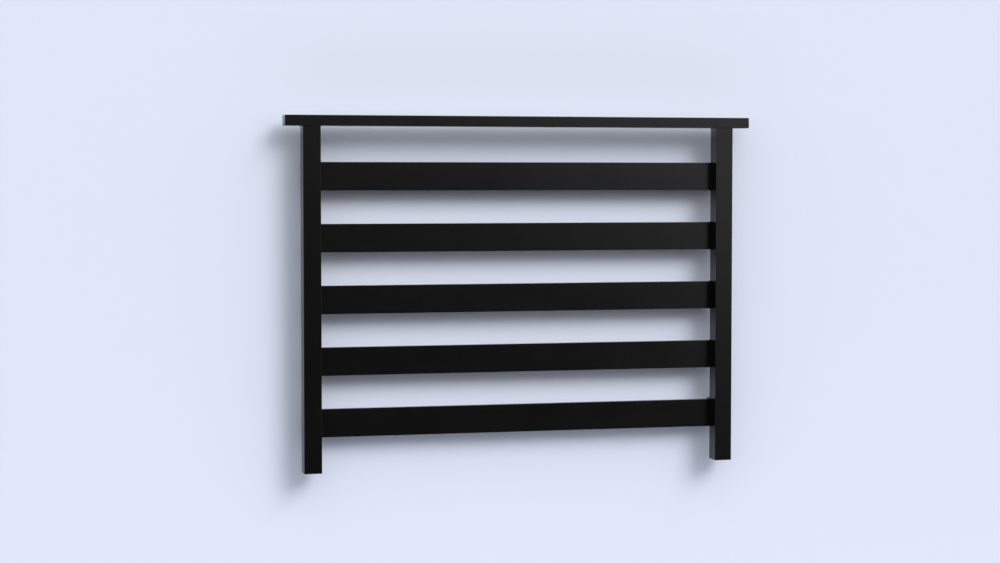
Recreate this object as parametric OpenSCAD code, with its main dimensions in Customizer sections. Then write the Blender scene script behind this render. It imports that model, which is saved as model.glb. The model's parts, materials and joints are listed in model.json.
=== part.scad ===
// Juliet balcony: a wall-hung window guard of square posts, a flat-topped
// handrail and five flat slats, held off the wall on four plug-on brackets.
//
// Frame: +X to the right along the wall, +Y into the wall, +Z up.
// The wall is the plane y = 0. The origin is the middle of the lower left
// wall plate's face against the wall.

/* [Guard] */
// Height from the foot of the posts to the top of the handrail
guard_h = 1000; // [800:10:1300]
// Clear width between the posts
clear_w = 1160; // [600:10:2000]
// Distance from the wall to the back of the posts
stand_off = 40; // [32:1:90]

/* [Posts] */
// Width of a post, seen from the front
post_w = 50; // [40:1:70]
// Depth of a post, front to back
post_d = 50; // [40:1:70]
// Wall of the post tube
post_wall = 3; // [2:0.5:5]

/* [Handrail] */
// Depth of the handrail, front to back
rail_d = 50; // [40:1:80]
// Height of the handrail
rail_h = 30; // [20:1:50]
// Length of the handrail past each post
rail_overhang = 50; // [0:5:150]
// Wall of the handrail tube
rail_wall = 2; // [1.5:0.5:4]

/* [Slats] */
// Height of a slat
slat_h = 80; // [40:1:110]
// Thickness of a slat
slat_t = 12; // [8:0.5:20]
// Wall of the slat's hollow section
slat_wall = 2; // [1:0.5:3]
// Back of the slats, in front of the back of the posts
slat_inset = 1; // [0:0.5:20]
// Open height between the handrail and the top slat
top_gap = 100; // [40:1:140]
// Height of the lowest slat above the foot of the posts
foot_gap = 97; // [20:1:140]

/* [End caps] */
// Thickness of a cap's cover plate
cap_t = 3; // [2:0.5:6]
// Length of the rim that plugs into the tube
cap_rim_l = 12; // [5:1:25]
// Thickness of that rim
cap_rim_t = 2; // [1:0.5:3]
// Gap all round between the rim and the tube
cap_clearance = 0.2; // [0.1:0.1:0.4]

/* [Wall brackets] */
// Width of a wall plate
plate_w = 38; // [30:1:60]
// Height of a wall plate
plate_h = 80; // [70:1:120]
// Thickness of a wall plate
plate_t = 6; // [4:0.5:10]
// Corner radius of a wall plate
plate_r = 4; // [1:0.5:8]
// Distance between a plate's two anchor holes
anchor_spacing = 54; // [50:1:60]
// Diameter of an anchor hole, for an M8 anchor
anchor_hole_d = 9; // [6:0.5:12]
// Diameter of the spigot on the wall plate
spigot_d = 20; // [14:1:24]
// Gap between the spigot's tip and the post, for setting the stand-off
spigot_reserve = 5; // [2:1:12]
// Wall of the sleeve on the post
sleeve_wall = 4; // [3:0.5:6]
// Gap between the sleeve and the wall plate
sleeve_reserve = 6; // [2:1:12]
// Gap all round between the spigot and the sleeve
sleeve_clearance = 0.2; // [0.1:0.1:0.5]
// Diameter of the hole for the locking screw, tapped M6
lock_hole_d = 5; // [3:0.5:6]

/* [Finish] */
// Outside corner radius of the tubes and slats
edge_r = 1; // [0.5:0.25:2]

/* [Hidden] */

$fn = 64;
slats = 5;
slack = 1;              // how far a cutter runs past what it cuts
coat = [0.02, 0.02, 0.02];

// Places across the wall: the middles of the two posts
left_x = 0;
right_x = clear_w + post_w;

// Places off the wall
post_back_y = -stand_off;
front_y = post_back_y - post_d;
slat_back_y = post_back_y - slat_inset;

// Heights: the lowest slat's middle is the height of the lower brackets
foot_z = -(foot_gap + slat_h / 2);
top_z = foot_z + guard_h;
rail_z = top_z - rail_h;
slat_pitch = (rail_z - top_gap - foot_z - foot_gap - slat_h) / (slats - 1);
function slat_mid_z(n) = (slats - n) * slat_pitch;
upper_z = slat_mid_z(1);
lower_z = slat_mid_z(slats);

// A w by h rectangle about the origin, with true round corners
module rounded(w, h, r) {
    square([w - 2 * r, h], center = true);
    square([w, h - 2 * r], center = true);
    for (x = [-1, 1], y = [-1, 1])
        translate([x * (w / 2 - r), y * (h / 2 - r)]) circle(r);
}

// The section of a hollow bar
module tube_section(w, h, wall) {
    difference() {
        rounded(w, h, edge_r);
        square([w - 2 * wall, h - 2 * wall], center = true);
    }
}

// A bar of the given length from x = 0 along +X, with its section in Y and Z
module along_x(length) {
    rotate([90, 0, 90]) linear_extrude(length) children();
}

// A cap at z = 0 that plugs up into a tube of that outside size and wall
module end_cap(w, h, wall) {
    translate([0, 0, -cap_t]) linear_extrude(cap_t) rounded(w, h, edge_r);
    rim_w = w - 2 * (wall + cap_clearance);
    rim_h = h - 2 * (wall + cap_clearance);
    linear_extrude(cap_rim_l) difference() {
        square([rim_w, rim_h], center = true);
        square([rim_w - 2 * cap_rim_t, rim_h - 2 * cap_rim_t], center = true);
    }
}

module handrail() {
    length = right_x - left_x + post_w + 2 * rail_overhang - 2 * cap_t;
    color(coat)
    translate([left_x - post_w / 2 - rail_overhang + cap_t, front_y + rail_d / 2, rail_z + rail_h / 2])
        along_x(length) tube_section(rail_d, rail_h, rail_wall);
}

// side: -1 for the left end, 1 for the right end
module handrail_cap(side) {
    end_x = (side < 0 ? left_x : right_x) + side * (post_w / 2 + rail_overhang);
    color(coat)
    translate([end_x - side * cap_t, front_y + rail_d / 2, rail_z + rail_h / 2])
        rotate([0, -side * 90, 0]) end_cap(rail_h, rail_d, rail_wall);
}

module post(x) {
    color(coat)
    translate([x, front_y + post_d / 2, foot_z + cap_t])
        linear_extrude(rail_z - foot_z - cap_t) tube_section(post_w, post_d, post_wall);
}

module post_foot_cap(x) {
    color(coat)
    translate([x, front_y + post_d / 2, foot_z + cap_t]) end_cap(post_w, post_d, post_wall);
}

// Slat n of the row, counted from the top, butted between the posts
module slat(n) {
    color(coat)
    translate([left_x + post_w / 2, slat_back_y - slat_t / 2, slat_mid_z(n)])
        along_x(clear_w) tube_section(slat_t, slat_h, slat_wall);
}

// Sleeve on the back of a post, with its locking screw hole underneath
module sleeve(x, z) {
    length = stand_off - plate_t - sleeve_reserve;
    bore_r = spigot_d / 2 + sleeve_clearance;
    outer_r = bore_r + sleeve_wall;
    color(coat)
    translate([x, post_back_y, z]) difference() {
        rotate([-90, 0, 0]) cylinder(h = length, r = outer_r);
        translate([0, -slack, 0]) rotate([-90, 0, 0]) cylinder(h = length + 2 * slack, r = bore_r);
        translate([0, length / 2, -outer_r - slack])
            cylinder(h = outer_r + slack, d = lock_hole_d);
    }
}

// Spigot on a wall plate, inside the sleeve
module spigot(x, z) {
    color("silver")
    translate([x, -plate_t, z])
        rotate([90, 0, 0]) cylinder(h = stand_off - plate_t - spigot_reserve, d = spigot_d);
}

module wall_plate(x, z) {
    color(coat)
    translate([x, 0, z]) rotate([90, 0, 0]) difference() {
        linear_extrude(plate_t) rounded(plate_w, plate_h, plate_r);
        for (side = [-1, 1])
            translate([0, side * anchor_spacing / 2, -slack])
                cylinder(h = plate_t + 2 * slack, d = anchor_hole_d);
    }
}

handrail();
handrail_cap(-1);  // handrail_cap_left
handrail_cap(1);  // handrail_cap_right
post(left_x);  // post_left
post(right_x);  // post_right
post_foot_cap(left_x);  // post_foot_cap_left
post_foot_cap(right_x);  // post_foot_cap_right
slat(1);  // slat_1
slat(2);  // slat_2
slat(3);  // slat_3
slat(4);  // slat_4
slat(5);  // slat_5
sleeve(left_x, upper_z);  // sleeve_upper_left
sleeve(right_x, upper_z);  // sleeve_upper_right
sleeve(left_x, lower_z);  // sleeve_lower_left
sleeve(right_x, lower_z);  // sleeve_lower_right
spigot(left_x, upper_z);  // spigot_upper_left
spigot(right_x, upper_z);  // spigot_upper_right
spigot(left_x, lower_z);  // spigot_lower_left
spigot(right_x, lower_z);  // spigot_lower_right
wall_plate(left_x, upper_z);  // wall_plate_upper_left
wall_plate(right_x, upper_z);  // wall_plate_upper_right
wall_plate(left_x, lower_z);  // wall_plate_lower_left
wall_plate(right_x, lower_z);  // wall_plate_lower_right
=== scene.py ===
"""Finish of a wall-hung juliet balcony: powder coat, end caps, welds, anchors and a plain studio stage.

Everything is in metres, in the frame of the construction: +X along the wall, +Y into the wall, +Z up,
and the wall is the plane y = 0.
"""

import json
import math

import bmesh
import bpy
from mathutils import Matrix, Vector


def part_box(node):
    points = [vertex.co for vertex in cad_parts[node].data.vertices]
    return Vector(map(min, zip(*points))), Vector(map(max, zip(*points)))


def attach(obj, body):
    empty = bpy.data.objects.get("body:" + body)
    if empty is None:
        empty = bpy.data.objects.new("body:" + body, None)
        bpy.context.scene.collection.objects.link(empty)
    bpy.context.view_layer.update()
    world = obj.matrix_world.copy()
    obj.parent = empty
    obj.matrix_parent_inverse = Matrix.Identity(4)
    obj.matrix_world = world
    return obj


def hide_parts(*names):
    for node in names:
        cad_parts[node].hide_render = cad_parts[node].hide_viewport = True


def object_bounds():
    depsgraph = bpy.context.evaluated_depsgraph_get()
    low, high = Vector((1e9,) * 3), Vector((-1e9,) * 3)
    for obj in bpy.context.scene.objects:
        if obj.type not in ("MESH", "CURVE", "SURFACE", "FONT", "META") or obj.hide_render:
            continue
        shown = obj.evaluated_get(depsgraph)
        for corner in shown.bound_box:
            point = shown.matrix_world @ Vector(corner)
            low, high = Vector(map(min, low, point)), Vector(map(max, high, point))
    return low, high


bl_info = {
    "name": "Juliet balcony finish",
    "version": (1, 0, 0),
    "blender": (4, 5, 0),
    "location": "3D View > Sidebar > Balcony",
    "description": "Adds end caps, welds, wall anchors, powder coat and a studio stage to a juliet balcony",
    "category": "Object",
}

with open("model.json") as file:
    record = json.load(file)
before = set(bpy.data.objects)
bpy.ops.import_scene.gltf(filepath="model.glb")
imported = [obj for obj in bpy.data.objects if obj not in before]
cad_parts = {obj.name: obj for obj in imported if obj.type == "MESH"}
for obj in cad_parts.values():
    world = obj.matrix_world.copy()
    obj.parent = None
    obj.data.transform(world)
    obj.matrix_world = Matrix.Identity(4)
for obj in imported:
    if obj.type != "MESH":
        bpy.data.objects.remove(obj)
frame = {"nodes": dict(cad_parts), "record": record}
CAD_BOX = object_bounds()

MM = 0.001
OVERRUN = 1 * MM  # how far a cutter runs past what it cuts, and a joined piece into its neighbour
TOUCH = 0.01 * MM  # how near a point lies to a place to count as at it
STRAIGHT = 0.999  # share of an edge's length that has to lie along an axis
WAVES_PER_METRE = 20 / (2 * math.pi)  # what the wave texture draws at a scale of 1
BODY = "root"
COAT_SLOT, COAT_NAME = "powder_coat", "satin_black_powder_coat"
STEEL_SLOT, STEEL_NAME = "stainless_steel", "turned_stainless_steel"

# Welds: rings of a bead to each ripple, and the rounding of a bead's ends as a share of its radius
RINGS_PER_RIPPLE = 3
WELD_END_SHARE = 0.3
# A cutter's radius over that of the piece it turns, so that it leaves the corners whole
TURNING_SLACK = 1.001

# Stage: how far the floor runs forward and where wall and floor start to fade, as shares of their reach
FLOOR_SHARE = 0.27
FADE_START = 0.75
WALL_GAP = 0.5 * MM  # between the plates and the wall
GROUND_GAP = 5 * MM  # between the floor and the dark ground under it
LAMP_DISTANCE = 4.0  # where the lamps are drawn; their light is parallel

# Ways from the balcony, in degrees to the right of straight out and degrees up, and how wide each light
# looks from it, in degrees
KEY_WAY, KEY_WIDTH = (32, 36), 30
TOP_WAY, TOP_WIDTH = (20, 55), 70
# The flag is dark felt: painted shade that stands in for dark surroundings in the coat's reflections
FLAG_WAY = (-5, -27)

# Viewpoint: metres left of the balcony's middle, out from its front and up from its foot, and its turn to
# the right and its tilt down in degrees
EYE_LEFT, EYE_OUT, EYE_UP = 1.5276, 5.8297, 0.8228
EYE_TURN, EYE_TILT = 14.055, 2.774
LENS_MM, SENSOR_MM = 76.28, 36.0

# Places taken from the construction
RAIL_LOW, RAIL_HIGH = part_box("handrail")
POST_BOXES = {side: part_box(f"post_{side}") for side in ("left", "right")}
SLAT_COUNT = sum(name.startswith("slat_") for name in frame["nodes"])
SLAT_BOXES = [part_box(f"slat_{n + 1}") for n in range(SLAT_COUNT)]
PLACES = [f"{level}_{side}" for level in ("upper", "lower") for side in ("left", "right")]
PLATE_BOXES = {place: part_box(f"wall_plate_{place}") for place in PLACES}
SLEEVE_BOXES = {place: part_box(f"sleeve_{place}") for place in PLACES}
SPIGOT_BOXES = {place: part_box(f"spigot_{place}") for place in PLACES}
ANCHORS = next(m["dims"] for m in frame["record"]["mounts"] if m["kind"] == "bolt_pattern")


def to_linear(code):
    """An sRGB hex colour as linear RGBA."""
    values = [int(code[i : i + 2], 16) / 255 for i in (1, 3, 5)]
    return tuple(v / 12.92 if v <= 0.04045 else ((v + 0.055) / 1.055) ** 2.4 for v in values) + (1.0,)


def middle(box):
    """The centre of a (low, high) box."""
    return (box[0] + box[1]) / 2


# --- Sizes and colours ----------------------------------------------------------------------------


def length(name, text, default, low, high):
    """A length that a user can set: written in millimetres and kept in metres."""
    return bpy.props.FloatProperty(
        name=name,
        description=text,
        default=default * MM,
        min=low * MM,
        max=high * MM,
        precision=5,
        unit="LENGTH",
    )


def amount(name, text, default, low=0.0, high=1.0):
    """A plain number that a user can set."""
    return bpy.props.FloatProperty(
        name=name, description=text, default=default, min=low, max=high, subtype="FACTOR"
    )


def colour(name, text, code):
    """A colour that a user can set."""
    return bpy.props.FloatVectorProperty(
        name=name, description=text, default=to_linear(code), size=4, min=0.0, max=1.0, subtype="COLOR"
    )


class BalconyCoat(bpy.types.PropertyGroup):
    """Satin black polyester powder coat"""

    base: colour("Coat", "Colour of the powder coat", "#080808")
    thin: colour("Thin coat", "Colour where the coat is thinner", "#0b0b0b")
    film_cloud: length("Film cloud", "Width of the slow changes in the coat's thickness", 90.0, 5.0, 500.0)
    roughness: amount("Roughness", "Mean roughness of the coat", 0.22)
    spread: amount("Roughness spread", "How far the roughness wanders from its mean", 0.015, 0.0, 0.3)
    sheen_cloud: length("Sheen cloud", "Width of the slow changes in roughness", 140.0, 5.0, 500.0)
    peel: length("Peel width", "Width of the flow waves in the coat", 3.0, 0.5, 12.0)
    peel_height: length("Peel height", "Height of the flow waves", 0.006, 0.0, 0.1)
    grain: length("Grain width", "Width of the powder's fine grain", 0.6, 0.1, 3.0)
    grain_height: length("Grain height", "Height of the fine grain", 0.001, 0.0, 0.1)


class BalconySteel(bpy.types.PropertyGroup):
    """Turned stainless steel of the spigots and screws"""

    base: colour("Steel", "Colour of the bare steel", "#c3c0ba")
    roughness: amount("Roughness", "Mean roughness of the steel", 0.3)
    spread: amount("Roughness spread", "How far the roughness wanders from its mean", 0.08, 0.0, 0.3)
    polish_cloud: length("Polish cloud", "Width of the changes in the steel's polish", 6.0, 1.0, 50.0)
    turning: length("Turning marks", "Distance between the lathe's tool marks", 0.5, 0.1, 3.0)
    turning_depth: length("Turning depth", "Depth of the tool marks", 0.004, 0.0, 0.1)


class BalconyJoints(bpy.types.PropertyGroup):
    """Caps, welds and screws"""

    rail_wall: length("Handrail wall", "Wall of the handrail tube", 2.0, 0.5, 6.0)
    post_wall: length("Post wall", "Wall of the post tubes", 3.0, 0.5, 6.0)
    rim_clearance: length("Rim clearance", "Gap between a cap's rim and its tube", 0.2, 0.05, 1.0)
    rim_wall: length("Rim wall", "Wall of a cap's rim", 2.0, 0.5, 4.0)
    cap_edge: length("Cap edge", "Rounding round a cap's outer face", 0.8, 0.1, 2.0)
    cap_seam: length("Cap seam", "Chamfer that leaves a fine line between cap and tube", 0.35, 0.05, 1.0)
    corner: length("Tube corner", "Outside corner radius of the tubes", 1.0, 0.2, 3.0)
    plate_corner: length("Plate corner", "Corner radius of a wall plate", 4.0, 1.0, 8.0)
    plate_edge: length("Plate edge", "Rounding round a wall plate's front", 0.8, 0.1, 2.0)
    weld: length("Weld radius", "Radius of a weld bead", 1.8, 0.5, 4.0)
    ripple: length("Weld ripple", "Distance between the ripples of a weld bead", 1.6, 0.5, 4.0)
    ripple_depth: length("Ripple depth", "Depth of the dips between ripples", 0.16, 0.0, 0.5)
    slat_weld_start: length("Slat weld start", "Where a slat's welds start, from its front", 2.0, 0.0, 10.0)
    rail_weld_start: length("Rail weld start", "Where a post's welds start, from its front", 3.0, 0.0, 20.0)
    screw: length("Anchor thread", "Thread diameter of a wall anchor", 8.0, 5.0, 12.0)
    head_flats: length("Anchor head", "Width across the flats of an anchor's head", 13.0, 8.0, 19.0)
    head_height: length("Head height", "Height of an anchor's head", 5.3, 3.0, 8.0)
    head_chamfer: length("Head chamfer", "Chamfer that is turned on an anchor's head", 1.1, 0.2, 2.0)
    washer: length("Washer", "Outside diameter of a washer", 16.0, 10.0, 24.0)
    washer_thick: length("Washer thickness", "Thickness of a washer", 1.6, 0.5, 3.0)
    washer_edge: length("Washer edge", "Rounding of a washer's rim", 0.3, 0.05, 1.0)
    washer_play: length("Washer play", "Washer's bore over the anchor's thread", 0.4, 0.1, 2.0)
    anchor_spacing: length("Anchor spacing", "Distance between anchors", ANCHORS["spacing_y_mm"], 40.0, 60.0)
    anchor_hole: length("Anchor hole", "Diameter of an anchor hole", 2 * ANCHORS["hole_r_mm"], 6.0, 12.0)
    lock_screw: length("Locking screw", "Diameter of the locking screw under a sleeve", 4.9, 3.0, 8.0)
    lock_length: length("Locking screw length", "Length of the locking screw", 5.0, 3.0, 12.0)
    lock_edge: length("Locking screw edge", "Rounding of the locking screw's end", 0.35, 0.05, 1.0)
    lock_key: length("Locking screw key", "Width across the flats of its hexagon socket", 2.5, 1.5, 4.0)
    lock_socket: length("Socket depth", "Depth of the locking screw's socket", 2.4, 1.0, 5.0)


class BalconyStage(bpy.types.PropertyGroup):
    """Pale wall and floor, light and camera"""

    wall: colour("Wall", "Colour of the wall and floor", "#e2e8f8")
    trowel: length("Trowel marks", "Width of the shallow marks in the wall", 12.0, 1.0, 200.0)
    trowel_depth: length("Trowel depth", "Depth of the marks in the wall", 0.09, 0.0, 2.0)
    floor_drop: length("Floor drop", "Height of the posts' feet above the floor", 2400.0, 300.0, 4000.0)
    cove: length("Cove", "Radius of the curve between wall and floor", 300.0, 50.0, 1000.0)
    reach: length("Stage reach", "How far the wall runs from the balcony", 9000.0, 3000.0, 20000.0)
    key_strength: amount("Key light", "Strength of the soft light from the upper right", 1.4, 0.0, 10.0)
    top_strength: amount("Top light", "Strength of the broad light from above", 0.9, 0.0, 10.0)
    surroundings: colour("Surroundings", "Colour of the pale surroundings", "#ffffff")
    sky: amount("Sky", "Brightness of the pale surroundings", 0.85, 0.0, 2.0)
    # Painted shade: the felt's dark colour stands in for dark surroundings, which the coat mirrors
    felt: colour("Felt", "Colour of the black felt that the coat mirrors", "#303030")
    flag_distance: length("Flag distance", "Distance from the balcony to the flag", 8000.0, 2000.0, 20000.0)
    flag_radius: length("Flag radius", "Radius of the flag", 7300.0, 500.0, 20000.0)
    flag_core: amount("Flag core", "Share of the flag's radius that is fully black", 0.72)
    ground_radius: length("Ground radius", "Radius of the dark ground", 40000.0, 5000.0, 90000.0)
    ground_core: amount("Ground core", "Share of the ground's radius that is fully black", 0.3)


# --- Modelling steps ------------------------------------------------------------------------------


def only(obj):
    """Makes obj the one selected and active object."""
    bpy.ops.object.select_all(action="DESELECT")
    obj.select_set(True)
    bpy.context.view_layer.objects.active = obj


def named(name):
    """Names the primitive that was just added, with its place and turn put into its mesh."""
    obj = bpy.context.object
    obj.name = obj.data.name = name
    bpy.ops.object.transform_apply(location=True, rotation=True, scale=True)
    return obj


def box_piece(name, low, high):
    """A box between two corners."""
    bpy.ops.object.select_all(action="DESELECT")
    low, high = Vector(low), Vector(high)
    bpy.ops.mesh.primitive_cube_add(size=1, location=(low + high) / 2, scale=high - low)
    return named(name)


def rod_piece(name, start, end, radius, sides=48):
    """A rod between two points on a line along X, Y or Z."""
    bpy.ops.object.select_all(action="DESELECT")
    start, end = Vector(start), Vector(end)
    turn = (end - start).to_track_quat("Z", "Y").to_euler()
    bpy.ops.mesh.primitive_cylinder_add(
        vertices=sides, radius=radius, depth=(end - start).length, location=(start + end) / 2, rotation=turn
    )
    return named(name)


def edit(obj, kind, rule):
    """Opens obj in edit mode with only the vertices, edges or faces that the rule picks."""
    only(obj)
    bpy.ops.object.mode_set(mode="EDIT")
    bpy.ops.mesh.select_mode(type=kind)
    bpy.ops.mesh.select_all(action="DESELECT")
    mesh = bmesh.from_edit_mesh(obj.data)
    mesh.normal_update()
    for element in {"VERT": mesh.verts, "EDGE": mesh.edges, "FACE": mesh.faces}[kind]:
        element.select_set(bool(rule(element)))
    mesh.select_flush_mode()
    bmesh.update_edit_mesh(obj.data)


def close():
    """Leaves edit mode."""
    bpy.ops.object.mode_set(mode="OBJECT")


def along(edge, axis):
    """Whether an edge runs along an axis, by its number."""
    way = edge.verts[1].co - edge.verts[0].co
    return abs(way[axis]) > STRAIGHT * way.length


def at(edge, axis, value):
    """Whether both ends of an edge lie at a value along an axis."""
    return all(abs(v.co[axis] - value) < TOUCH for v in edge.verts)


def apply_modifier(obj, kind, **settings):
    """Adds a modifier to obj and applies it."""
    only(obj)
    modifier = obj.modifiers.new(kind.title(), kind)
    for key, value in settings.items():
        setattr(modifier, key, value)
    bpy.ops.object.modifier_apply(modifier=modifier.name)


def combine(obj, other, operation):
    """Joins, cuts or crosses obj with another piece, which is used up."""
    apply_modifier(obj, "BOOLEAN", object=other, operation=operation, solver="EXACT")
    bpy.data.objects.remove(other)


def join(pieces, name):
    """Makes one object of several."""
    bpy.ops.object.select_all(action="DESELECT")
    for piece in pieces:
        piece.select_set(True)
    bpy.context.view_layer.objects.active = pieces[0]
    bpy.ops.object.join()
    obj = bpy.context.object
    obj.name = obj.data.name = name
    return obj


def copy_piece(obj, name, offset, turn=(0.0, 0.0, 0.0)):
    """A copy with a mesh of its own, turned about the origin and then moved by offset."""
    only(obj)
    bpy.ops.object.duplicate(linked=False)
    bpy.context.object.location = offset
    bpy.context.object.rotation_euler = turn
    return named(name)


def finish_piece(obj, material, angle=35.0):
    """Smooths the piece, gives it its finish and hangs it on the body."""
    only(obj)
    bpy.ops.object.shade_smooth_by_angle(angle=math.radians(angle))
    obj.data.materials.clear()
    obj.data.materials.append(material)
    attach(obj, BODY)


# --- Materials ------------------------------------------------------------------------------------


def add_node(tree, kind, links=None, **settings):
    """Adds a node, sets its properties and input values, and links its inputs to other nodes' outputs."""
    node = tree.nodes.new(kind)
    for key, value in settings.items():
        if hasattr(node, key):
            setattr(node, key, value)
        else:
            node.inputs[key.replace("_", " ")].default_value = value
    for key, source in (links or {}).items():
        tree.links.new(source, node.inputs[key])
    return node


def start_material(name):
    """A material with an empty node tree and its output node."""
    material = bpy.data.materials.new(name)
    material.use_nodes = True
    tree = material.node_tree
    tree.nodes.clear()
    return material, tree, add_node(tree, "ShaderNodeOutputMaterial")


def coat_material(look):
    """Polyester powder coat, sprayed and baked: a dark, even satin skin with very shallow flow waves."""
    material, tree, output = start_material(COAT_NAME)
    place = add_node(tree, "ShaderNodeTexCoord").outputs["Object"]
    film = add_node(tree, "ShaderNodeTexNoise", {"Vector": place}, Scale=1 / look.film_cloud, Detail=3.0)
    tone = add_node(tree, "ShaderNodeMix", {"Factor": film.outputs["Fac"]}, data_type="RGBA")
    tone.inputs["A"].default_value = look.base
    tone.inputs["B"].default_value = look.thin
    sheen = add_node(tree, "ShaderNodeTexNoise", {"Vector": place}, Scale=1 / look.sheen_cloud, Detail=4.0)
    satin = add_node(
        tree,
        "ShaderNodeMapRange",
        {"Value": sheen.outputs["Fac"]},
        From_Min=0.3,
        From_Max=0.7,
        To_Min=look.roughness - look.spread,
        To_Max=look.roughness + look.spread,
    )
    waves = add_node(tree, "ShaderNodeTexNoise", {"Vector": place}, Scale=1 / look.peel, Detail=1.0)
    peel = add_node(
        tree, "ShaderNodeBump", {"Height": waves.outputs["Fac"]}, Strength=1.0, Distance=look.peel_height
    )
    powder = add_node(tree, "ShaderNodeTexNoise", {"Vector": place}, Scale=1 / look.grain, Detail=1.0)
    grain = add_node(
        tree,
        "ShaderNodeBump",
        {"Height": powder.outputs["Fac"], "Normal": peel.outputs["Normal"]},
        Strength=1.0,
        Distance=look.grain_height,
    )
    shader = add_node(
        tree,
        "ShaderNodeBsdfPrincipled",
        {
            "Base Color": tone.outputs["Result"],
            "Roughness": satin.outputs["Result"],
            "Normal": grain.outputs["Normal"],
        },
        IOR=1.5,
    )
    tree.links.new(shader.outputs["BSDF"], output.inputs["Surface"])
    return material


def steel_material(look):
    """Turned stainless steel: bright, with fine tool marks round the axis and a cloud in its polish."""
    material, tree, output = start_material(STEEL_NAME)
    place = add_node(tree, "ShaderNodeTexCoord").outputs["Object"]
    polish = add_node(
        tree, "ShaderNodeTexNoise", {"Vector": place}, Scale=1 / look.polish_cloud, Detail=4.0
    )
    cloud = add_node(
        tree,
        "ShaderNodeMapRange",
        {"Value": polish.outputs["Fac"]},
        To_Min=look.roughness - look.spread,
        To_Max=look.roughness + look.spread,
    )
    marks = add_node(
        tree,
        "ShaderNodeTexWave",
        {"Vector": place},
        wave_type="BANDS",
        bands_direction="Y",
        Scale=1 / (WAVES_PER_METRE * look.turning),
        Distortion=0.6,
        Detail=2.0,
    )
    bump = add_node(
        tree, "ShaderNodeBump", {"Height": marks.outputs["Fac"]}, Strength=1.0, Distance=look.turning_depth
    )
    shader = add_node(
        tree,
        "ShaderNodeBsdfPrincipled",
        {"Roughness": cloud.outputs["Result"], "Normal": bump.outputs["Normal"]},
        Metallic=1.0,
    )
    shader.inputs["Base Color"].default_value = look.base
    tree.links.new(shader.outputs["BSDF"], output.inputs["Surface"])
    return material


def finish_named(name, make, look):
    """The material of that name, made on its first use."""
    return bpy.data.materials.get(name) or make(look)


def coat():
    """The powder coat, with its settings from the panel."""
    return finish_named(COAT_NAME, coat_material, bpy.context.scene.balcony_coat)


def steel():
    """The turned steel, with its settings from the panel."""
    return finish_named(STEEL_NAME, steel_material, bpy.context.scene.balcony_steel)


# --- Pieces ---------------------------------------------------------------------------------------


class BALCONY_OT_bars(bpy.types.Operator):
    """Gives the handrail, posts, slats, sleeves and spigots their finish"""

    bl_idname = "balcony.bars"
    bl_label = "Finish the bars"

    def execute(self, context):
        slots = {row["node"]: row["material_slot"] for row in frame["record"]["subparts"]}
        finishes = {COAT_SLOT: coat(), STEEL_SLOT: steel()}
        for name, obj in frame["nodes"].items():
            for holder in obj.material_slots:
                holder.material = finishes[slots[name]]
        return {"FINISHED"}


def plug_cap(name, width, depth, cover, rim, wall, sizes):
    """A cap that closes a tube from below: its cover under z = 0 and its hollow rim above."""
    obj = box_piece(name, (-width / 2, -depth / 2, -cover), (width / 2, depth / 2, 0.0))
    edit(obj, "EDGE", lambda e: along(e, 2))
    bpy.ops.mesh.bevel(offset=sizes.corner, segments=6, affect="EDGES")
    close()
    edit(obj, "EDGE", lambda e: at(e, 2, -cover))
    bpy.ops.mesh.bevel(offset=sizes.cap_edge, segments=4, affect="EDGES")
    close()
    edit(obj, "EDGE", lambda e: at(e, 2, 0.0))
    bpy.ops.mesh.bevel(offset=sizes.cap_seam, segments=1, affect="EDGES")
    close()
    reach = Vector((width / 2, depth / 2, 0)) - Vector((1, 1, 0)) * (wall + sizes.rim_clearance)
    core = reach - Vector((1, 1, 0)) * sizes.rim_wall
    up = Vector((0, 0, 1))
    plug = box_piece("plug", -reach - up * OVERRUN, reach + up * rim)
    combine(plug, box_piece("core", -core, core + up * 2 * rim), "DIFFERENCE")
    combine(obj, plug, "UNION")
    return obj


class BALCONY_OT_caps(bpy.types.Operator):
    """Models the plug caps that close the handrail's ends and the posts' feet"""

    bl_idname = "balcony.caps"
    bl_label = "Model the end caps"

    def execute(self, context):
        sizes = context.scene.balcony_joints
        low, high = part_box("handrail_cap_left")
        cover, rim = RAIL_LOW.x - low.x, high.x - RAIL_LOW.x
        cap = plug_cap("rail_cap", high.z - low.z, high.y - low.y, cover, rim, sizes.rail_wall, sizes)
        for side, end, turn in (("left", RAIL_LOW, math.pi / 2), ("right", RAIL_HIGH, -math.pi / 2)):
            centre = middle(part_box(f"handrail_cap_{side}"))
            piece = copy_piece(cap, f"rail_cap_{side}", (end.x, centre.y, centre.z), (0, turn, 0))
            finish_piece(piece, coat())
            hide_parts(f"handrail_cap_{side}")
        bpy.data.objects.remove(cap)

        low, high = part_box("post_foot_cap_left")
        foot = POST_BOXES["left"][0].z
        cover, rim = foot - low.z, high.z - foot
        cap = plug_cap("foot_cap", high.x - low.x, high.y - low.y, cover, rim, sizes.post_wall, sizes)
        for side in POST_BOXES:
            centre = middle(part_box(f"post_foot_cap_{side}"))
            piece = copy_piece(cap, f"foot_cap_{side}", (centre.x, centre.y, foot))
            finish_piece(piece, coat())
            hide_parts(f"post_foot_cap_{side}")
        bpy.data.objects.remove(cap)
        return {"FINISHED"}


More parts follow.
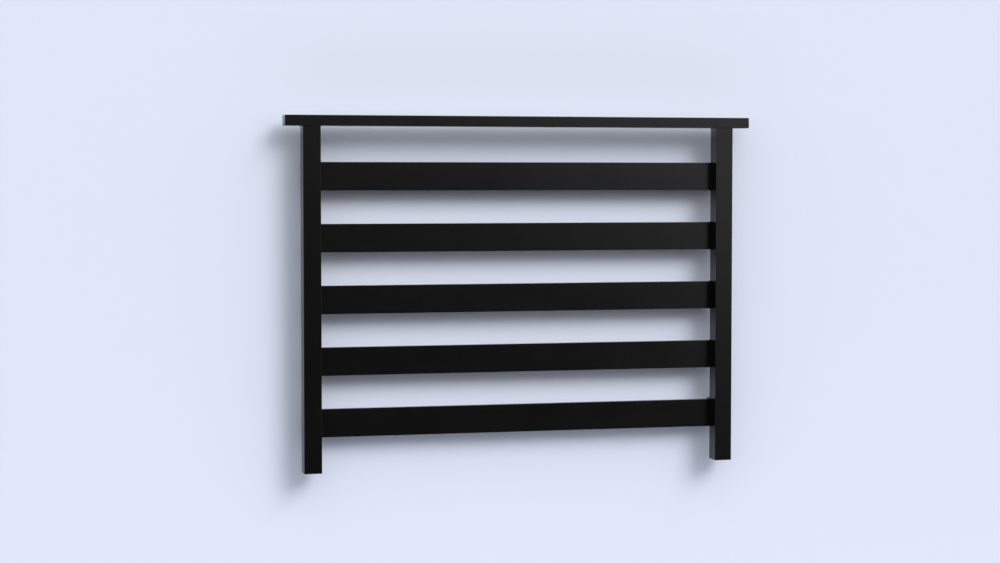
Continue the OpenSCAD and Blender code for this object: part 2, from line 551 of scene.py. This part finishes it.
class BALCONY_OT_plates(bpy.types.Operator):
    """Models the wall plates, with eased edges and drilled anchor holes"""

    bl_idname = "balcony.plates"
    bl_label = "Model the wall plates"

    def execute(self, context):
        sizes = context.scene.balcony_joints
        first = PLACES[0]
        low, high = PLATE_BOXES[first]
        centre = middle((low, high))
        plate = box_piece("plate", low, high)
        edit(plate, "EDGE", lambda e: along(e, 1))
        bpy.ops.mesh.bevel(offset=sizes.plate_corner, segments=8, affect="EDGES")
        close()
        edit(plate, "EDGE", lambda e: at(e, 1, low.y))
        bpy.ops.mesh.bevel(offset=sizes.plate_edge, segments=3, affect="EDGES")
        close()
        for sign in (-1, 1):
            z = centre.z + sign * sizes.anchor_spacing / 2
            start, end = (centre.x, low.y - OVERRUN, z), (centre.x, high.y + OVERRUN, z)
            hole = rod_piece("hole", start, end, sizes.anchor_hole / 2)
            combine(plate, hole, "DIFFERENCE")
        for place, box in PLATE_BOXES.items():
            piece = copy_piece(plate, f"plate_{place}", middle(box) - centre)
            finish_piece(piece, coat())
            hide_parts(f"wall_plate_{place}")
        bpy.data.objects.remove(plate)
        return {"FINISHED"}


def anchor(sizes, plate_face):
    """A hexagon-headed wall anchor on the line x = 0, z = 0, from its head on a plate to the wall."""
    seat = plate_face - sizes.washer_thick
    top = seat - sizes.head_height
    corner = sizes.head_flats / math.sqrt(3)
    head = rod_piece("head", (0, seat, 0), (0, top, 0), corner, sides=6)
    turned = rod_piece("turned", (0, seat, 0), (0, top, 0), corner * TURNING_SLACK, sides=64)
    edit(turned, "EDGE", lambda e: at(e, 1, top))
    bpy.ops.mesh.bevel(offset=sizes.head_chamfer, segments=1, affect="EDGES")
    close()
    combine(head, turned, "INTERSECT")
    shank = rod_piece("shank", (0, seat - OVERRUN, 0), (0, 0, 0), sizes.screw / 2, sides=32)
    combine(head, shank, "UNION")
    return head


def washer(sizes, plate_face):
    """A flat washer on the line x = 0, z = 0, lying on a plate's face."""
    top = plate_face - sizes.washer_thick
    ring = rod_piece("ring", (0, plate_face, 0), (0, top, 0), sizes.washer / 2)
    edit(ring, "EDGE", lambda e: at(e, 1, top))
    bpy.ops.mesh.bevel(offset=sizes.washer_edge, segments=2, affect="EDGES")
    close()
    start, end = (0, plate_face + OVERRUN, 0), (0, top - OVERRUN, 0)
    bore = rod_piece("bore", start, end, (sizes.screw + sizes.washer_play) / 2)
    combine(ring, bore, "DIFFERENCE")
    return ring


class BALCONY_OT_anchors(bpy.types.Operator):
    """Models the wall anchors and their washers"""

    bl_idname = "balcony.anchors"
    bl_label = "Model the wall anchors"

    def execute(self, context):
        sizes = context.scene.balcony_joints
        face = PLATE_BOXES[PLACES[0]][0].y
        models = {"anchor": anchor(sizes, face), "washer": washer(sizes, face)}
        for place, box in PLATE_BOXES.items():
            centre = middle(box)
            for row, sign in (("top", 1), ("bottom", -1)):
                offset = (centre.x, 0, centre.z + sign * sizes.anchor_spacing / 2)
                for kind, model in models.items():
                    piece = copy_piece(model, f"{kind}_{place}_{row}", offset)
                    finish_piece(piece, steel())
        for model in models.values():
            bpy.data.objects.remove(model)
        return {"FINISHED"}


class BALCONY_OT_lock_screws(bpy.types.Operator):
    """Models the socket set screws that lock the sleeves on the spigots"""

    bl_idname = "balcony.lock_screws"
    bl_label = "Model the locking screws"

    def execute(self, context):
        sizes = context.scene.balcony_joints
        spigot = SPIGOT_BOXES[PLACES[0]]
        tip = -(spigot[1].z - spigot[0].z) / 2
        end = tip - sizes.lock_length
        screw = rod_piece("screw", (0, 0, tip), (0, 0, end), sizes.lock_screw / 2)
        edit(screw, "EDGE", lambda e: at(e, 2, end))
        bpy.ops.mesh.bevel(offset=sizes.lock_edge, segments=2, affect="EDGES")
        close()
        key_radius = sizes.lock_key / math.sqrt(3)
        bottom = end + sizes.lock_socket
        socket = rod_piece("socket", (0, 0, bottom), (0, 0, end - OVERRUN), key_radius, sides=6)
        combine(screw, socket, "DIFFERENCE")
        for place, box in SLEEVE_BOXES.items():
            piece = copy_piece(screw, f"lock_screw_{place}", middle(box))
            finish_piece(piece, steel())
        bpy.data.objects.remove(screw)
        return {"FINISHED"}


def rippled(obj, ring_number, sizes):
    """Dips one ring in each ripple of a bead, as in a hand weld."""
    edit(obj, "VERT", lambda v: ring_number(v.co) % RINGS_PER_RIPPLE == 0)
    bpy.ops.transform.shrink_fatten(value=-sizes.ripple_depth)
    close()


def seam(name, start, end, sizes):
    """A straight weld bead between two points on a line along X, Y or Z."""
    start, end = Vector(start), Vector(end)
    axis = max(range(3), key=lambda i: abs(end[i] - start[i]))
    low = min(start[axis], end[axis])
    run = (end - start).length
    rings = RINGS_PER_RIPPLE * max(2, round(run / sizes.ripple))
    bead = rod_piece(name, start, end, sizes.weld, sides=12)
    edit(bead, "EDGE", lambda e: along(e, axis))
    bpy.ops.mesh.subdivide(number_cuts=rings - 1)
    close()
    edit(bead, "EDGE", lambda e: at(e, axis, low) or at(e, axis, low + run))
    bpy.ops.mesh.bevel(offset=sizes.weld * WELD_END_SHARE, segments=2, affect="EDGES")
    close()
    rippled(bead, lambda co: round((co[axis] - low) / run * rings), sizes)
    return bead


def ring_seam(name, radius, y, sizes):
    """A weld bead round the line x = 0, z = 0, at a place along Y."""
    bpy.ops.object.select_all(action="DESELECT")
    rings = RINGS_PER_RIPPLE * round(2 * math.pi * radius / sizes.ripple)
    bpy.ops.mesh.primitive_torus_add(
        location=(0, y, 0),
        rotation=(math.pi / 2, 0, 0),
        major_radius=radius,
        minor_radius=sizes.weld,
        major_segments=rings,
        minor_segments=12,
    )
    bead = named(name)
    step = 2 * math.pi / rings
    rippled(bead, lambda co: round(math.atan2(co.z, co.x) / step), sizes)
    return bead


class BALCONY_OT_welds(bpy.types.Operator):
    """Models the weld beads at the slats' ends, under the handrail and round the sleeves and spigots"""

    bl_idname = "balcony.welds"
    bl_label = "Model the welds"

    def execute(self, context):
        sizes = context.scene.balcony_joints
        first = SLAT_BOXES[0]
        for side, x in (("left", first[0].x), ("right", first[1].x)):
            low, high = first
            front = low.y + sizes.slat_weld_start
            beads = [
                seam("back", (x, high.y, low.z), (x, high.y, high.z), sizes),
                seam("over", (x, front, high.z), (x, high.y, high.z), sizes),
                seam("under", (x, front, low.z), (x, high.y, low.z), sizes),
            ]
            model = join(beads, "slat_weld")
            for n, box in enumerate(SLAT_BOXES):
                piece = copy_piece(model, f"weld_slat_{n + 1}_{side}", box[0] - low)
                finish_piece(piece, coat(), angle=60.0)
            bpy.data.objects.remove(model)

        low, high = POST_BOXES["left"]
        front = low.y + sizes.rail_weld_start
        beads = [
            seam("outer", (low.x, front, high.z), (low.x, high.y, high.z), sizes),
            seam("inner", (high.x, front, high.z), (high.x, high.y, high.z), sizes),
            seam("rear", (low.x, high.y, high.z), (high.x, high.y, high.z), sizes),
        ]
        model = join(beads, "rail_weld")
        for side, box in POST_BOXES.items():
            piece = copy_piece(model, f"weld_rail_{side}", box[0] - low)
            finish_piece(piece, coat(), angle=60.0)
        bpy.data.objects.remove(model)

        sleeve, spigot = SLEEVE_BOXES[PLACES[0]], SPIGOT_BOXES[PLACES[0]]
        rings = {
            "sleeve": ring_seam("ring", (sleeve[1].x - sleeve[0].x) / 2, sleeve[0].y, sizes),
            "spigot": ring_seam("ring", (spigot[1].x - spigot[0].x) / 2, spigot[1].y, sizes),
        }
        for kind, model in rings.items():
            for place, box in SLEEVE_BOXES.items():
                centre = middle(box)
                piece = copy_piece(model, f"weld_{kind}_{place}", (centre.x, 0, centre.z))
                finish_piece(piece, coat(), angle=60.0)
            bpy.data.objects.remove(model)
        return {"FINISHED"}


# --- Stage ----------------------------------------------------------------------------------------


def wall_material(look):
    """Smooth painted render: matt and pale. It is seen from the front only, and fades out at its edges."""
    material, tree, output = start_material("pale_wall_paint")
    place = add_node(tree, "ShaderNodeTexCoord").outputs["Object"]
    trowel = add_node(tree, "ShaderNodeTexNoise", {"Vector": place}, Scale=1 / look.trowel, Detail=4.0)
    bump = add_node(
        tree, "ShaderNodeBump", {"Height": trowel.outputs["Fac"]}, Strength=1.0, Distance=look.trowel_depth
    )
    paint = add_node(tree, "ShaderNodeBsdfDiffuse", {"Normal": bump.outputs["Normal"]})
    paint.inputs["Color"].default_value = look.wall
    clear = add_node(tree, "ShaderNodeBsdfTransparent")
    stretched = add_node(tree, "ShaderNodeVectorMath", {0: place}, operation="MULTIPLY")
    stretched.inputs[1].default_value = (1, 1 / FLOOR_SHARE, 1)
    away = add_node(tree, "ShaderNodeVectorMath", {0: stretched.outputs["Vector"]}, operation="LENGTH")
    edge = add_node(
        tree,
        "ShaderNodeMapRange",
        {"Value": away.outputs["Value"]},
        interpolation_type="SMOOTHSTEP",
        From_Min=look.reach * FADE_START,
        From_Max=look.reach,
    )
    back = add_node(tree, "ShaderNodeNewGeometry").outputs["Backfacing"]
    hidden = add_node(tree, "ShaderNodeMath", {0: edge.outputs["Result"], 1: back}, operation="MAXIMUM")
    layers = {0: hidden.outputs[0], 1: paint.outputs["BSDF"], 2: clear.outputs["BSDF"]}
    mix = add_node(tree, "ShaderNodeMixShader", layers)
    tree.links.new(mix.outputs[0], output.inputs["Surface"])
    return material


def build_wall(look):
    """The wall behind the plates, curving into a floor below."""
    centre = middle(CAD_BOX)
    reach, cove = look.reach, look.cove
    wall_y = CAD_BOX[1].y + WALL_GAP
    floor_z = CAD_BOX[0].z - look.floor_drop
    bpy.ops.object.select_all(action="DESELECT")
    bpy.ops.mesh.primitive_plane_add(size=1, location=(centre.x, wall_y, 0), rotation=(math.pi / 2, 0, 0))
    wall = bpy.context.object
    wall.scale = (2 * reach, reach, 1)
    wall.location.z = floor_z + cove + reach / 2
    wall = named("stage_wall")
    edit(wall, "EDGE", lambda e: at(e, 2, floor_z + cove))
    bpy.ops.mesh.spin(
        steps=24, angle=math.pi / 2, center=(centre.x, wall_y - cove, floor_z + cove), axis=(1, 0, 0)
    )
    close()
    edit(wall, "EDGE", lambda e: at(e, 2, floor_z) and at(e, 1, wall_y - cove))
    bpy.ops.mesh.extrude_region_move(TRANSFORM_OT_translate={"value": (0, cove - reach * FLOOR_SHARE, 0)})
    close()
    only(wall)
    bpy.ops.object.shade_smooth()
    wall.data.materials.append(wall_material(look))
    return wall


def direction(azimuth, elevation):
    """The way from the balcony to a place in front of it, by degrees to the right and degrees up."""
    a, e = math.radians(azimuth), math.radians(elevation)
    return Vector((math.sin(a) * math.cos(e), -math.cos(a) * math.cos(e), math.sin(e)))


def build_world(look):
    """Even, pale surroundings."""
    world = bpy.data.worlds.new("studio")
    bpy.context.scene.world = world
    world.use_nodes = True
    tree = world.node_tree
    tree.nodes.clear()
    light = add_node(tree, "ShaderNodeBackground", Strength=look.sky)
    light.inputs["Color"].default_value = look.surroundings
    output = add_node(tree, "ShaderNodeOutputWorld")
    tree.links.new(light.outputs[0], output.inputs["Surface"])


def shade_felt_material(look, name, centre, radius, core):
    """Black felt that stands in for dark surroundings: painted shade that the coat mirrors. It is full in
    the middle and fades to clear at its rim, so that the coat mirrors no edge.
    """
    material, tree, output = start_material(name)
    place = add_node(tree, "ShaderNodeTexCoord").outputs["Object"]
    away = add_node(tree, "ShaderNodeVectorMath", {0: place}, operation="DISTANCE")
    away.inputs[1].default_value = centre
    gone = add_node(
        tree,
        "ShaderNodeMapRange",
        {"Value": away.outputs["Value"]},
        interpolation_type="SMOOTHSTEP",
        From_Min=radius * core,
        From_Max=radius,
    )
    felt = add_node(tree, "ShaderNodeBsdfDiffuse")
    felt.inputs["Color"].default_value = look.felt
    clear = add_node(tree, "ShaderNodeBsdfTransparent")
    layers = {0: gone.outputs["Result"], 1: felt.outputs["BSDF"], 2: clear.outputs["BSDF"]}
    mix = add_node(tree, "ShaderNodeMixShader", layers)
    tree.links.new(mix.outputs[0], output.inputs["Surface"])
    return material


def shade_felt_disc(look, name, place, target, radius, core):
    """A round piece of black felt that faces a point: painted shade in place of dark surroundings, mirrored
    by the coat and unseen by the camera.
    """
    bpy.ops.object.select_all(action="DESELECT")
    bpy.ops.mesh.primitive_circle_add(vertices=96, radius=radius, fill_type="NGON", location=place)
    disc = bpy.context.object
    aim(disc, target)
    disc = named(name)
    disc.data.materials.append(shade_felt_material(look, f"{name}_felt", place, radius, core))
    disc.visible_camera = False


def build_flags(look):
    """A black flag, low and to the left in front, and dark ground: felt sheets that stand in for dark
    surroundings, as painted shade that the black coat mirrors and that keeps light off from those ways.
    """
    centre = middle(CAD_BOX)
    place = centre + look.flag_distance * direction(*FLAG_WAY)
    shade_felt_disc(look, "stage_flag", place, centre, look.flag_radius, look.flag_core)
    under = Vector((centre.x, centre.y, CAD_BOX[0].z - look.floor_drop - GROUND_GAP))
    shade_felt_disc(look, "stage_ground", under, centre, look.ground_radius, look.ground_core)


def aim(obj, target):
    """Turns a lamp or camera at obj's place towards a point."""
    obj.rotation_euler = (Vector(target) - obj.location).to_track_quat("-Z", "Y").to_euler()


def soft_light(name, strength, way, width):
    """A soft light from far away, width degrees across, as seen from the balcony."""
    centre = middle(CAD_BOX)
    bpy.ops.object.light_add(type="SUN", location=centre + LAMP_DISTANCE * direction(*way))
    light = bpy.context.object
    light.name = light.data.name = name
    light.data.angle = math.radians(width)
    light.data.energy = strength
    aim(light, centre)


def build_lights(look):
    """A key light from the upper right in front, and a broad light from above."""
    soft_light("key_light", look.key_strength, KEY_WAY, KEY_WIDTH)
    soft_light("top_light", look.top_strength, TOP_WAY, TOP_WIDTH)


def build_camera():
    """The viewpoint: to the left of the balcony, a little above its middle, with a long lens."""
    low = CAD_BOX[0]
    eye = (middle(CAD_BOX).x - EYE_LEFT, low.y - EYE_OUT, low.z + EYE_UP)
    turn = (math.radians(90 - EYE_TILT), 0, -math.radians(EYE_TURN))
    bpy.ops.object.camera_add(location=eye, rotation=turn)
    camera = bpy.context.object
    camera.name = camera.data.name = "viewpoint"
    camera.data.sensor_width = SENSOR_MM
    camera.data.lens = LENS_MM
    bpy.context.scene.camera = camera


class BALCONY_OT_stage(bpy.types.Operator):
    """Builds the pale wall and floor, the light and the camera"""

    bl_idname = "balcony.stage"
    bl_label = "Build the stage"

    def execute(self, context):
        look = context.scene.balcony_stage
        build_wall(look)
        build_world(look)
        build_flags(look)
        build_lights(look)
        build_camera()
        context.scene.view_settings.view_transform = "Standard"
        return {"FINISHED"}


# --- Add-on ---------------------------------------------------------------------------------------

GROUPS = {
    "balcony_coat": BalconyCoat,
    "balcony_steel": BalconySteel,
    "balcony_joints": BalconyJoints,
    "balcony_stage": BalconyStage,
}
STEPS = (
    BALCONY_OT_stage,
    BALCONY_OT_bars,
    BALCONY_OT_caps,
    BALCONY_OT_plates,
    BALCONY_OT_anchors,
    BALCONY_OT_lock_screws,
    BALCONY_OT_welds,
)


class BALCONY_PT_panel(bpy.types.Panel):
    """Lists the steps and their sizes"""

    bl_idname = "BALCONY_PT_panel"
    bl_label = "Juliet balcony"
    bl_space_type = "VIEW_3D"
    bl_region_type = "UI"
    bl_category = "Balcony"

    def draw(self, context):
        for step in STEPS:
            self.layout.operator(step.bl_idname)
        for name, group in GROUPS.items():
            box = self.layout.box()
            box.label(text=group.__doc__)
            for key in group.__annotations__:
                box.prop(getattr(context.scene, name), key)


def register():
    for group in GROUPS.values():
        bpy.utils.register_class(group)
    for name, group in GROUPS.items():
        setattr(bpy.types.Scene, name, bpy.props.PointerProperty(type=group))
    for step in STEPS:
        bpy.utils.register_class(step)
    bpy.utils.register_class(BALCONY_PT_panel)


def unregister():
    bpy.utils.unregister_class(BALCONY_PT_panel)
    for step in reversed(STEPS):
        bpy.utils.unregister_class(step)
    for name, group in GROUPS.items():
        delattr(bpy.types.Scene, name)
        bpy.utils.unregister_class(group)


def main():
    register()
    for step in STEPS:
        family, action = step.bl_idname.split(".")
        getattr(getattr(bpy.ops, family), action)()


if __name__ == "__main__":
    main()
